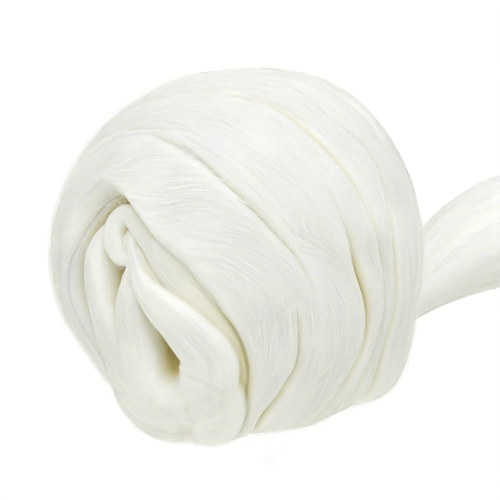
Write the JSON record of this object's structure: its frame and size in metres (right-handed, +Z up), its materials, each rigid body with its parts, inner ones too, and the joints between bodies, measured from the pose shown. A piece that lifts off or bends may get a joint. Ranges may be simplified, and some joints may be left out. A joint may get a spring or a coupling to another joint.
{
  "type": "ball of wool roving",
  "caption": "Ball of undyed combed wool roving, wound in flat turns with a doubled bunch at its open end and a loose end lying beside it.",
  "frame": {"origin": "centre of the ball's bounding box at the surface it rests on, without the loose end", "axes": "+Z up; -Y towards the view of the picture, which looks on the ball's open end; +X to the right of that view, where the loose end leaves"},
  "size_m": [0.2633, 0.1818, 0.113],
  "materials": {
    "roving": "soft undyed combed wool, fine silky fibres"
  },
  "bodies": {
    "root": {"wound_ball": "roving", "loose_end": "roving"}
  },
  "joints": []
}
